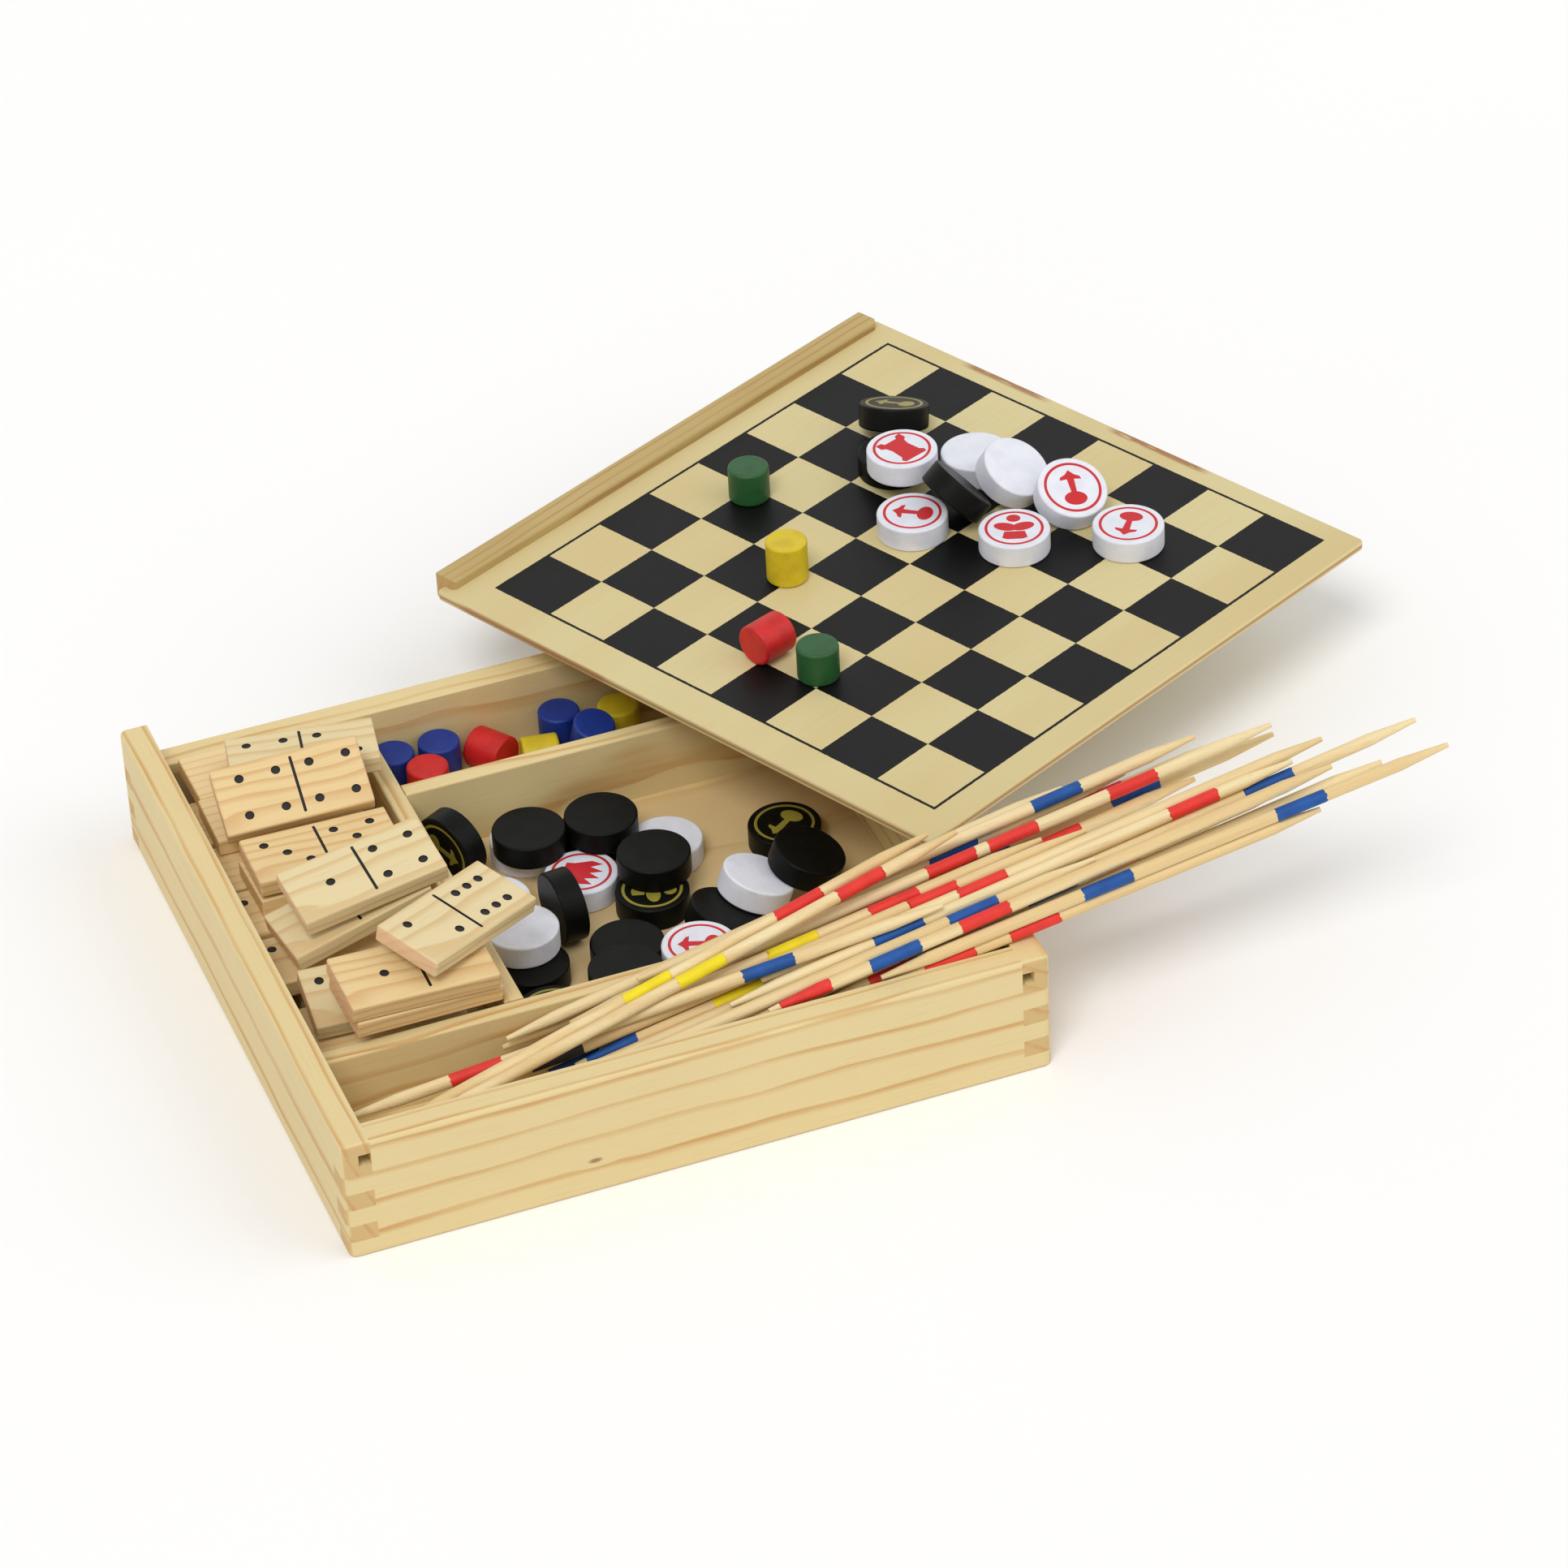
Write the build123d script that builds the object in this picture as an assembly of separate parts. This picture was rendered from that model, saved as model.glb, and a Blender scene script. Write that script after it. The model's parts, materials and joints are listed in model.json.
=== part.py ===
from build123d import *
import os
from math import atan, degrees, radians, tan

os.makedirs("parts", exist_ok=True)

# Games compendium box. Millimetres. The origin is under the middle of the tray, +X along its front
# wall, +Y towards its back wall, +Z up.

# Tray
tray_length = 225
tray_depth = 230
tray_height = 42
wall = 9.2
finger = 6
back_wall_top = 30.7
corner_round = 2.5
edge_round = 1.2
groove_bottom = 33.6
groove_top = 37.8
groove_deep = 3.9
floor_thick = 4
fit_gap = 0.05
x_in = tray_length / 2 - wall
y_in = tray_depth / 2 - wall

# Dividers
divider_top = 28.6
divider_thick = 6
front_divider_y = -58.4
cross_divider_x = -40.7
back_divider_y = 61.6

# Lid, drawn in its own axes: u runs along the rail, v from the rail to the far edge
panel_thick = 3.2
panel_low_u, panel_high_u = -104.3, 109.5
panel_low_v, panel_high_v = -109.8, 106.3
rail_middle_u = 2.65
rail_length = 206.2
rail_low_v, rail_high_v = -114.2, -105.0
rail_below, rail_above = 2.2, 3.6
lid_x, lid_y = 150.9, 92.65
lid_turn = -153.8

# Loose pieces
domino_long, domino_wide, domino_thick = 47.5, 24, 6
disc_d, disc_thick = 23.6, 8
peg_d, short_peg, long_peg = 13.8, 12.2, 14.8
stick_d, stick_long = 4.0, 190
stick_tip_d, stick_taper = 1.6, 16
stick_rise = 9.0
stick_layer = 4.12


def slab(x0, x1, y0, y1, z0, z1):
    return Pos((x0 + x1) / 2, (y0 + y1) / 2, (z0 + z1) / 2) * Box(x1 - x0, y1 - y0, z1 - z0)


def save(name, *pieces):
    shape = pieces[0] if len(pieces) == 1 else Compound(children=list(pieces))
    shape.label = name
    export_step(shape, f"parts/{name}.step")


# Side walls: the lower part, the two full-height fingers at the top and the odd fingers below them
def finger_heights(side):
    levels = []
    top = tray_height - 2 * finger
    while top > 0.1:
        levels.append((top - finger, top))
        top -= finger
    mine = [(tray_height - 2 * finger, tray_height)] + levels[1::2]
    return mine if side else levels[0::2]


outside = slab(-tray_length / 2, tray_length / 2, -tray_depth / 2, tray_depth / 2, 0, tray_height)
outside = fillet(outside.edges().filter_by(Axis.Z), corner_round)
outside = fillet(outside.edges().group_by(Axis.Z)[-1], edge_round)
outside = fillet(outside.edges().group_by(Axis.Z)[0], edge_round)


def side_wall(sign):
    x0, x1 = sorted((sign * x_in, sign * tray_length / 2))
    body = slab(x0, x1, -y_in, y_in, 0, tray_height)
    for low, high in finger_heights(True):
        body += slab(x0, x1, -tray_depth / 2, -y_in, low, high)
        body += slab(x0, x1, y_in, tray_depth / 2, low, high)
    groove_x = sorted((sign * x_in, sign * (x_in + groove_deep)))
    body -= slab(*groove_x, -tray_depth, tray_depth, groove_bottom, groove_top)
    return body & outside


def end_wall(sign, top):
    y0, y1 = sorted((sign * y_in, sign * tray_depth / 2))
    body = slab(-x_in, x_in, y0, y1, 0, top)
    for low, high in finger_heights(False):
        body += slab(-tray_length / 2, -x_in, y0, y1, low, high)
        body += slab(x_in, tray_length / 2, y0, y1, low, high)
    return body & outside


front_wall = end_wall(-1, tray_height)
front_wall -= slab(-tray_length / 2, -tray_length / 2 + 2, -105.9, -104.4, 2.0, 4.4)
back_wall = end_wall(1, back_wall_top)
back_wall = fillet(back_wall.edges().filter_by(Axis.X).group_by(Axis.Z)[-1], 0.5)
save("left_wall", side_wall(-1))
save("right_wall", side_wall(1))
save("front_wall", front_wall)
save("back_wall", back_wall)
save("base_panel", slab(-x_in + fit_gap, x_in - fit_gap, -y_in + fit_gap, y_in - fit_gap, 0, floor_thick))


def divider(x0, x1, y0, y1, along):
    body = slab(x0, x1, y0, y1, floor_thick, divider_top)
    return fillet(body.edges().filter_by(along).group_by(Axis.Z)[-1], 0.8)


save("front_divider", divider(-x_in + fit_gap, x_in - fit_gap, front_divider_y,
                              front_divider_y + divider_thick, Axis.X))
save("cross_divider", divider(cross_divider_x, cross_divider_x + divider_thick + 0.2,
                              front_divider_y + divider_thick + fit_gap, y_in - fit_gap, Axis.Y))
save("back_divider", divider(cross_divider_x + divider_thick + 0.2 + fit_gap, x_in - fit_gap,
                             back_divider_y, back_divider_y + divider_thick, Axis.X))

# Lid: the panel is let into the rail, which stops short of the panel's side edges so that it can
# pass between the tray's side walls
panel = slab(panel_low_u, panel_high_u, panel_low_v, panel_high_v, -panel_thick, 0)
panel = fillet(panel.edges().filter_by(Axis.Z), 2.0)
panel = fillet(panel.edges().group_by(Axis.Z)[-1] + panel.edges().group_by(Axis.Z)[0], 0.6)
rail_low_u, rail_high_u = rail_middle_u - rail_length / 2, rail_middle_u + rail_length / 2
rail = slab(rail_low_u, rail_high_u, rail_low_v, rail_high_v, -panel_thick - rail_below, rail_above)
rail = fillet(rail.edges().filter_by(Axis.X) + rail.edges().filter_by(Axis.Z), 1.4)
rail -= slab(rail_low_u - 1, rail_high_u + 1, panel_low_v - fit_gap, rail_high_v + 1,
             -panel_thick - fit_gap, fit_gap)
on_tray = Pos(lid_x, lid_y, tray_height + panel_thick) * Rot(0, 0, lid_turn)
save("lid_panel", on_tray * panel)
save("lid_rail", on_tray * rail)
lid_top = tray_height + panel_thick

# Dominoes: middle point, turn about Z, rise towards the right end, rise towards the back edge
block = fillet(Box(domino_long, domino_wide, domino_thick).edges(), 0.8)


def domino(x, y, z, turn=0, right_up=0, back_up=0):
    return Pos(x, y, z) * Rot(0, 0, turn) * Rot(0, -right_up, 0) * Rot(back_up, 0, 0) * block


save("domino_back", domino(-62.0, 79.6, 40.4, -10.6, 1, -3.3))
save("domino_leaning", domino(-72.5, 56.4, 45.7, -5, 3.5, 27.6))
save("domino_middle", domino(-71.1, 31.0, 38.3, -0.8, -0.7))
save("domino_raised", domino(-67.5, -0.6, 49.6, 3.9, 7.1, 9.5))
save("domino_under_raised", domino(-73.0, -1.8, 39.6, 7.1, 11, 2.5))
save("domino_across", domino(-48.2, -33.3, 49.8, 31.6, -5.7, 10.2))
save("domino_front", domino(-65.9, -43.3, 41.5, 1.7, -3, 7))
save("domino_front_lower", domino(-65.2, -42.4, 35.3, 3.8, -3, 7))
save("domino_side", domino(-72.8, -30.8, 29.0, -3.2, 0, 13.2))
save("dominoes_middle_layers",
     *[domino(x, y, 31.2, turn) for x, y, turn in ((-71.6, 31.5, 1), (-74.4, 66.5, -1), (-73.4, 91.4, 0.5))],
     *[domino(-79.2, y, 25.15) for y in (-3, 23.3, 48.5, 74.5)])
save("dominoes_lower_layers",
     *[domino(x, y, z) for x, y in ((-74, -33), (-70, 1), (-73, 36), (-71, 72)) for z in (7.02, 13.06, 19.1)])

# Discs: middle of the lower face, lean of the axis, and the direction that the upper face leans to
round_disc = fillet(Cylinder(disc_d / 2, disc_thick, align=(Align.CENTER, Align.CENTER, Align.MIN))
                    .edges().filter_by(GeomType.CIRCLE), 0.7)


def leaning(shape, x, y, z, lean=0, towards=0):
    return Pos(x, y, z) * Rot(0, 0, towards) * Rot(0, lean, 0) * Rot(0, 0, -towards) * shape


def disc(*place):
    return leaning(round_disc, *place)


save("lid_disc_black_ring", disc(174.6, 165.4, 49.5, 21, 60))
save("lid_disc_black_lower", disc(166.6, 145.9, lid_top))
save("lid_disc_white_upper", disc(165.7, 135.0, lid_top + disc_thick))
save("lid_disc_black_leaning", disc(171.8, 109.3, 54.0, 47.5, 5))
save("lid_disc_white_back", disc(191.8, 134.5, lid_top))
save("lid_disc_white_middle", disc(195.5, 116.5, 51.4, 31, -55))
save("lid_disc_white_leaning", disc(209.5, 98.2, 50.3, 25, -82))
save("lid_disc_white_near", disc(185.6, 86.8, lid_top))
save("lid_disc_white_right", disc(220.5, 73.6, lid_top))
save("lid_disc_white_left", disc(158.8, 109.4, lid_top))

floor = floor_thick
second = floor + disc_thick
save("disc_black_on_edge_back", disc(-21.4, 48.2, 16.5, 94.5, -155))
save("disc_black_on_edge_middle", disc(0.7, 2.5, 16.0, 91.6, -176))
save("disc_black_back_left", disc(-1.5, 40.0, second))
save("disc_black_back_right", disc(22.1, 38.0, second))
save("disc_black_stack_top", disc(30.6, 12.4, second))
save("disc_black_front", disc(2.2, -40.2, second))
save("disc_white_front", disc(27.0, -38.3, second))
save("disc_white_on_black", disc(-20.4, -7.5, second))
save("disc_white_leaning", disc(54.3, -11.7, 12.0, 20.6, -4))
save("disc_black_leaning", disc(72.2, -9.9, 15.4, 20, -26))
save("disc_black_under_lid", disc(77.1, 19.3, floor))
save("discs_white_lower", disc(-0.6, 46.5, floor), disc(9.2, 21.6, floor), disc(39.9, 27.6, floor),
     disc(-20.6, 20.2, floor))
save("discs_black_lower", disc(-20.5, -16.0, floor), disc(-22.0, -40.5, floor), disc(26.6, 4.0, floor),
     disc(10.2, -18.1, floor), disc(40.4, -19.4, 8.2, 20.6, -4), disc(23.2, 44.6, floor),
     disc(2.0, -40.5, floor), disc(30.0, -40.5, floor))

# Pegs: standing ones by the middle of the lower face, lying ones by their middle and direction
def peg(length):
    return fillet(Cylinder(peg_d / 2, length, align=(Align.CENTER, Align.CENTER, Align.MIN))
                  .edges().filter_by(GeomType.CIRCLE), 1.0)


def lying(x, y, z, turn, length):
    return Pos(x, y, z) * Rot(0, 0, turn) * Rot(0, 90, 0) * Pos(0, 0, -length / 2) * peg(length)


save("lid_peg_green_back", Pos(117.4, 151.9, lid_top) * peg(short_peg))
save("lid_peg_yellow", Pos(111.8, 102.2, lid_top) * peg(long_peg))
save("lid_peg_green_front", Pos(100.7, 46.1, lid_top) * peg(short_peg))
save("lid_peg_red", lying(90.1, 63.1, lid_top + peg_d / 2, 23, 13.2))
save("pegs_blue", Pos(-27.5, 98.8, floor) * peg(long_peg), Pos(-11.9, 98.8, floor) * peg(long_peg))
save("pegs_red", Pos(-19.6, 87.2, floor) * peg(long_peg), lying(4.8, 96.5, floor + peg_d / 2, -56, 13.2))
save("peg_yellow", lying(18.7, 87.4, floor + peg_d / 2, -10, 12.2))
save("pegs_blue_under_lid", Pos(29.3, 98.8, floor) * peg(long_peg),
     leaning(peg(long_peg), 34.0, 84.4, 9.6, 18, -72))
save("peg_yellow_under_lid", Pos(48.0, 93.8, floor) * peg(long_peg))

# Sticks: x of the right tip, y where the stick crosses the right wall, turn about Z. Each layer lies
# in a plane that rises to the right and clears the rim of the right wall
rim_x = tray_length / 2 - wall / 2
bottom_layer = ((208, -103.6, 0), (233, -97.6, 1.6), (192, -91.6, 1.6), (165, -87.3, 1.6),
                (174, -83.0, 1.6), (126, -78.8, 1.2), (182, -71.5, 2.4), (211, -65.9, 1.8),
                (201, -60.9, 2.2), (143, -55.6, 2.8))
second_layer = ((251, -103.5, 0.2), (205, -96.2, 2.0), (248, -91.8, 2.2), (149, -87.4, 2.0),
                (158, -83.2, 2.0), (119, -74.2, 3.0), (159, -67.8, 3.2), (163, -61.2, 3.4),
                (144, -55.7, 3.4))
third_layer = ((215, -100.2, 2.0), (137, -95.9, 1.8), (206, -90.8, 2.0), (218, -86.4, 1.8),
               (140, -82.1, 1.7), (127, -77.7, 1.7), (208, -71.2, 2.0), (186, -62.4, 2.3))

stick = Cylinder(stick_d / 2, stick_long - 2 * stick_taper, rotation=(0, 90, 0))
for end in (-1, 1):
    cone = Cone(stick_d / 2, stick_tip_d / 2, stick_taper, rotation=(0, 90 * end, 0))
    stick += Pos(end * (stick_long - stick_taper) / 2, 0, 0) * cone


def laid_stick(tip_x, rim_y, turn, layer, rise=stick_rise):
    # the rise of the plane along X gives a stick that is turned about Z almost the same rise
    tilt = degrees(atan(tan(radians(rise))))
    middle_x = tip_x - stick_long / 2
    y = rim_y + (middle_x - rim_x) * tan(radians(turn))
    z = tray_height + stick_d / 2 + 0.85 + layer * stick_layer + (middle_x - rim_x) * tan(radians(rise))
    return Pos(middle_x, y, z) * Rot(0, 0, turn) * Rot(0, -tilt, 0) * stick


for name, level, places in (("sticks_bottom_layer", 0, bottom_layer),
                            ("sticks_second_layer", 1, second_layer),
                            ("sticks_third_layer", 2, third_layer)):
    save(name, *[laid_stick(*place, level) for place in places])
save("stick_top_front", laid_stick(88, -94.5, -3.9, 3))
save("stick_top_back", laid_stick(96, -62.0, 10.0, 4))
save("stick_top_middle", laid_stick(104, -67.5, 9.6, 4))
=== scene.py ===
import bpy
import bmesh
import json
import random
from math import cos, pi, radians, sin, tan
from mathutils import Matrix, Vector


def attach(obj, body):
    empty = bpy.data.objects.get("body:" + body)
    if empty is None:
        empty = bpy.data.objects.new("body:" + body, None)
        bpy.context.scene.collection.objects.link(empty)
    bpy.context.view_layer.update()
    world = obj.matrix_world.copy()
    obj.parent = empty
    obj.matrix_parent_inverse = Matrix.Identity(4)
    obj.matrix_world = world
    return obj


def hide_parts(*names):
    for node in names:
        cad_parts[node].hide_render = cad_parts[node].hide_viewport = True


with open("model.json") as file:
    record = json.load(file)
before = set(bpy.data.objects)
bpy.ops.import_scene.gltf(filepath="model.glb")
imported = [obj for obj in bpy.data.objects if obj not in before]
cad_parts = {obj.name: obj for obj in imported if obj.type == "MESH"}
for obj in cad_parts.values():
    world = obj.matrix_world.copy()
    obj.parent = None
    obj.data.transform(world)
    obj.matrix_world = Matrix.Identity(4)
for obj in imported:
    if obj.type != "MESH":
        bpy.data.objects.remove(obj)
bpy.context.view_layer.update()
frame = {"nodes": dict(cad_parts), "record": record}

scene = bpy.context.scene
mm = 0.001
nodes = frame["nodes"]
print("frame loaded:", len(nodes), "nodes")


# camera

view = {
    "place": (-0.46432, -1.52439, 1.22057),
    "right": (0.93209, -0.35977, -0.04207),
    "up": (0.24409, 0.53805, 0.80680),
    "forward": (0.26762, 0.76228, -0.58933),
    "sensor": 36.0,
    "lens": 146.78,
}

cameraData = bpy.data.cameras.new("camera")
cameraData.sensor_width = view["sensor"]
cameraData.lens = view["lens"]
cameraData.clip_start = 0.05
cameraData.clip_end = 30
camera = bpy.data.objects.new("camera", cameraData)
scene.collection.objects.link(camera)
turned = Matrix((view["right"], view["up"], [-c for c in view["forward"]])).transposed()
camera.matrix_world = Matrix.Translation(view["place"]) @ turned.to_4x4()
scene.camera = camera
scene.view_settings.view_transform = "Standard"


# shader maths: a wrapped socket takes part in Python expressions

class Wire:
    def __init__(self, graph, socket):
        self.graph = graph
        self.socket = socket

    def math(self, operation, first, *others):
        kind = "VectorMath" if self.socket.type in ("VECTOR", "RGBA") else "Math"
        values = [first, *others]
        if kind == "VectorMath":
            values = [v if isinstance(v, (Wire, tuple)) else (v, v, v) for v in values]
        return self.graph.node(kind, {"operation": operation}, values)

    def __add__(self, other): return self.math("ADD", self, other)
    def __radd__(self, other): return self.math("ADD", other, self)
    def __sub__(self, other): return self.math("SUBTRACT", self, other)
    def __rsub__(self, other): return self.math("SUBTRACT", other, self)
    def __mul__(self, other): return self.math("MULTIPLY", self, other)
    def __rmul__(self, other): return self.math("MULTIPLY", other, self)
    def __truediv__(self, other): return self.math("DIVIDE", self, other)
    def __gt__(self, other): return self.math("GREATER_THAN", self, other)
    def __lt__(self, other): return self.math("LESS_THAN", self, other)
    def __abs__(self): return self.math("ABSOLUTE", self)

    def floor(self): return self.math("FLOOR", self)
    def fract(self): return self.math("FRACT", self)
    def sqrt(self): return self.math("SQRT", self)
    def max(self, other): return self.math("MAXIMUM", self, other)

    def dot(self, direction):
        return self.graph.node("VectorMath", {"operation": "DOT_PRODUCT"}, [self, tuple(direction)],
                               output="Value")

    def parts(self):
        return [self.graph.node("SeparateXYZ", {}, [self], output=i) for i in range(3)]

    # 0 below low, 1 above high, smooth between
    def step(self, low, high):
        return self.graph.node("MapRange", {"interpolation_type": "SMOOTHSTEP"},
                               {"Value": self, "From Min": low, "From Max": high,
                                "To Min": 0.0, "To Max": 1.0})


class Graph:
    def __init__(self, name):
        self.material = bpy.data.materials.new(name)
        self.material.use_nodes = True
        self.tree = self.material.node_tree
        self.tree.nodes.clear()

    def node(self, kind, settings, values, output=0):
        made = self.tree.nodes.new("ShaderNode" + kind)
        for key, value in settings.items():
            setattr(made, key, value)
        pairs = values.items() if isinstance(values, dict) else enumerate(values)
        for key, value in pairs:
            if isinstance(value, Wire):
                self.tree.links.new(value.socket, made.inputs[key])
            else:
                made.inputs[key].default_value = value
        return Wire(self, made.outputs[output]) if made.outputs else None

    # the rest place in millimetres; it moves with the piece
    def place(self):
        return self.node("TexCoord", {}, [], output="Object") * 1000.0

    def normal(self):
        return self.node("TexCoord", {}, [], output="Normal")

    def vector(self, x, y, z):
        return self.node("CombineXYZ", {}, [x, y, z])

    def noise(self, at, scale=1.0, detail=2.0, rough=0.5):
        return self.node("TexNoise", {}, {"Vector": at, "Scale": scale, "Detail": detail,
                                          "Roughness": rough}, output="Fac")

    def mix(self, factor, first, second):
        colours = [c if isinstance(c, Wire) else (*c, 1) for c in (first, second)]
        return self.node("Mix", {"data_type": "RGBA"}, {0: factor, 6: colours[0], 7: colours[1]},
                         output=2)

    def finish(self, colour, rough, height=None, bumpSize=0.1, coat=0.0, coatRough=0.3, specular=0.5):
        values = {"Base Color": colour, "Roughness": rough, "Coat Weight": coat,
                  "Coat Roughness": coatRough, "Specular IOR Level": specular}
        if height is not None:
            values["Normal"] = self.node("Bump", {}, {"Height": height, "Strength": 1.0,
                                                      "Distance": bumpSize * mm}, output="Normal")
        shader = self.node("BsdfPrincipled", {}, values, output="BSDF")
        self.node("OutputMaterial", {}, {"Surface": shader})
        return self.material


# an sRGB colour, 0 to 255, as the linear values that materials take
def rgb(r, g, b):
    return tuple(((c / 255 + 0.055) / 1.055) ** 2.4 if c > 10 else c / 255 / 12.92 for c in (r, g, b))


# wood

woods = {
    "pale": (222, 201, 148),
    "dark": (196, 144, 74),
    "endGrain": (196, 156, 98),
}


# growth rings round a pith line that runs along one axis, stretched fibres and knots
def wood(name, along, pith, spacing, pale=woods["pale"], dark=woods["dark"], wander=5.0,
         knots=(), endGrain=woods["endGrain"], strength=1.0, coat=0.05, ringSharp=0.62):
    g = Graph(name)
    p = g.place()
    n = g.normal()
    axis = Vector(along).normalized()
    side = axis.cross(Vector((0, 0, 1))).normalized() if abs(axis.z) < 0.9 else Vector((1, 0, 0))
    up = side.cross(axis).normalized()
    l, s, u = p.dot(axis), p.dot(side), p.dot(up)
    slow = g.noise(g.vector(l * 0.009, s * 0.02, u * 0.02), detail=2.0) - 0.5
    fine = g.noise(g.vector(l * 0.03, s * 0.09, u * 0.09), detail=1.0) - 0.5
    ds, du = s - pith[0], u - pith[1]
    radius = (ds * ds + du * du).sqrt() + slow * wander * 2.0 + fine * 1.1
    knotDark = None
    for (kx, ky, kz), size in knots:
        away = p - (kx, ky, kz)
        across = away.dot(axis)
        other = (away.dot(side) * away.dot(side) + away.dot(up) * away.dot(up)).sqrt()
        far = (across * across * 0.16 + other * other).sqrt()
        near = 1.0 - far.step(0.0, size * 3.2)
        radius = radius + near * near * size * 1.1
        spot = 1.0 - far.step(size * 0.25, size * 0.75)
        knotDark = spot if knotDark is None else knotDark.max(spot)
    ring = (radius / spacing).fract()
    late = ring.step(ringSharp, 0.93) * (1.0 - ring.step(0.95, 1.0))
    late = late * (0.45 + 0.55 * g.noise(g.vector(l * 0.02, s * 0.3, u * 0.3), detail=1.0).step(0.3, 0.7))
    streak = g.noise(g.vector(l * 0.035, s * 2.6, u * 2.6), detail=3.0, rough=0.6)
    pores = g.noise(g.vector(l * 0.16, s * 7.0, u * 7.0), detail=2.0, rough=0.7)
    patch = g.noise(p, scale=0.012, detail=2.0).step(0.35, 0.7)
    colour = g.mix(late * (0.85 * strength), rgb(*pale), rgb(*dark))
    colour = g.mix(streak.step(0.52, 0.78) * (0.30 * strength), colour, rgb(*dark))
    colour = g.mix(pores.step(0.58, 0.75) * 0.16, colour, rgb(*[c * 0.80 for c in dark]))
    colour = g.mix(patch * 0.12, colour, rgb(238, 220, 168))
    if knotDark is not None:
        colour = g.mix(knotDark * 0.75, colour, rgb(128, 84, 46))
    end = abs(n.dot(axis)).step(0.55, 0.9)
    colour = g.mix(end * 0.62, colour, rgb(*endGrain))
    height = streak * 0.35 + pores * 0.25 + late * 0.4
    return g.finish(colour, 0.46 + streak * 0.18 + end * 0.2, height, 0.10, coat=coat, specular=0.3)


def dress(node, material):
    if not nodes[node].material_slots:
        nodes[node].data.materials.append(material)
    for slot in nodes[node].material_slots:
        slot.material = material


xAxis, yAxis = (1, 0, 0), (0, 1, 0)
dress("front_wall", wood("pineFront", xAxis, (-40, -60), 5.0, wander=1.3, ringSharp=0.72,
                         knots=(((-35.0, -115.0, 12.0), 1.6),)))
dress("back_wall", wood("pineBack", xAxis, (52, -48), 6.2))
dress("left_wall", wood("pineLeft", yAxis, (56, 86), 6.2, wander=1.8, ringSharp=0.72))
dress("right_wall", wood("pineRight", yAxis, (48, -72), 6.0))
dress("front_divider", wood("pineFrontDivider", xAxis, (30, 44), 6.4, wander=7.0,
                            knots=(((-26.0, -58.4, 22.0), 2.4),)))
dress("cross_divider", wood("pineCrossDivider", yAxis, (26, 70), 5.2))
dress("back_divider", wood("pineBackDivider", xAxis, (34, 38), 5.6, wander=8.0))
dress("base_panel", wood("basePly", xAxis, (10, -150), 9.0, pale=(222, 194, 142), dark=(204, 166, 108),
                         wander=16.0, strength=0.6, endGrain=(210, 178, 124)))

# the lid: its rail runs along railLine, and boardLine points from the rail to the far edge
lid = {
    "middle": (150.9, 92.65),
    "boardLine": (0.44151, -0.89726, 0),
    "railLine": (0.89726, 0.44151, 0),
    "square": 23.8,
    "half": 95.2,
    "border": 0.9,
    "top": 45.2,
    "thick": 3.2,
    "patches": ((-65, -31), (0, 39)),
    "patchEdge": 101.8,
    "line": (-98, -33),
    "stainSoft": 4,
}
dress("lid_rail", wood("pineRail", lid["railLine"], (-30, 10), 3.4, wander=3.0,
                      pale=(182, 156, 98), dark=(154, 110, 54)))


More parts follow.
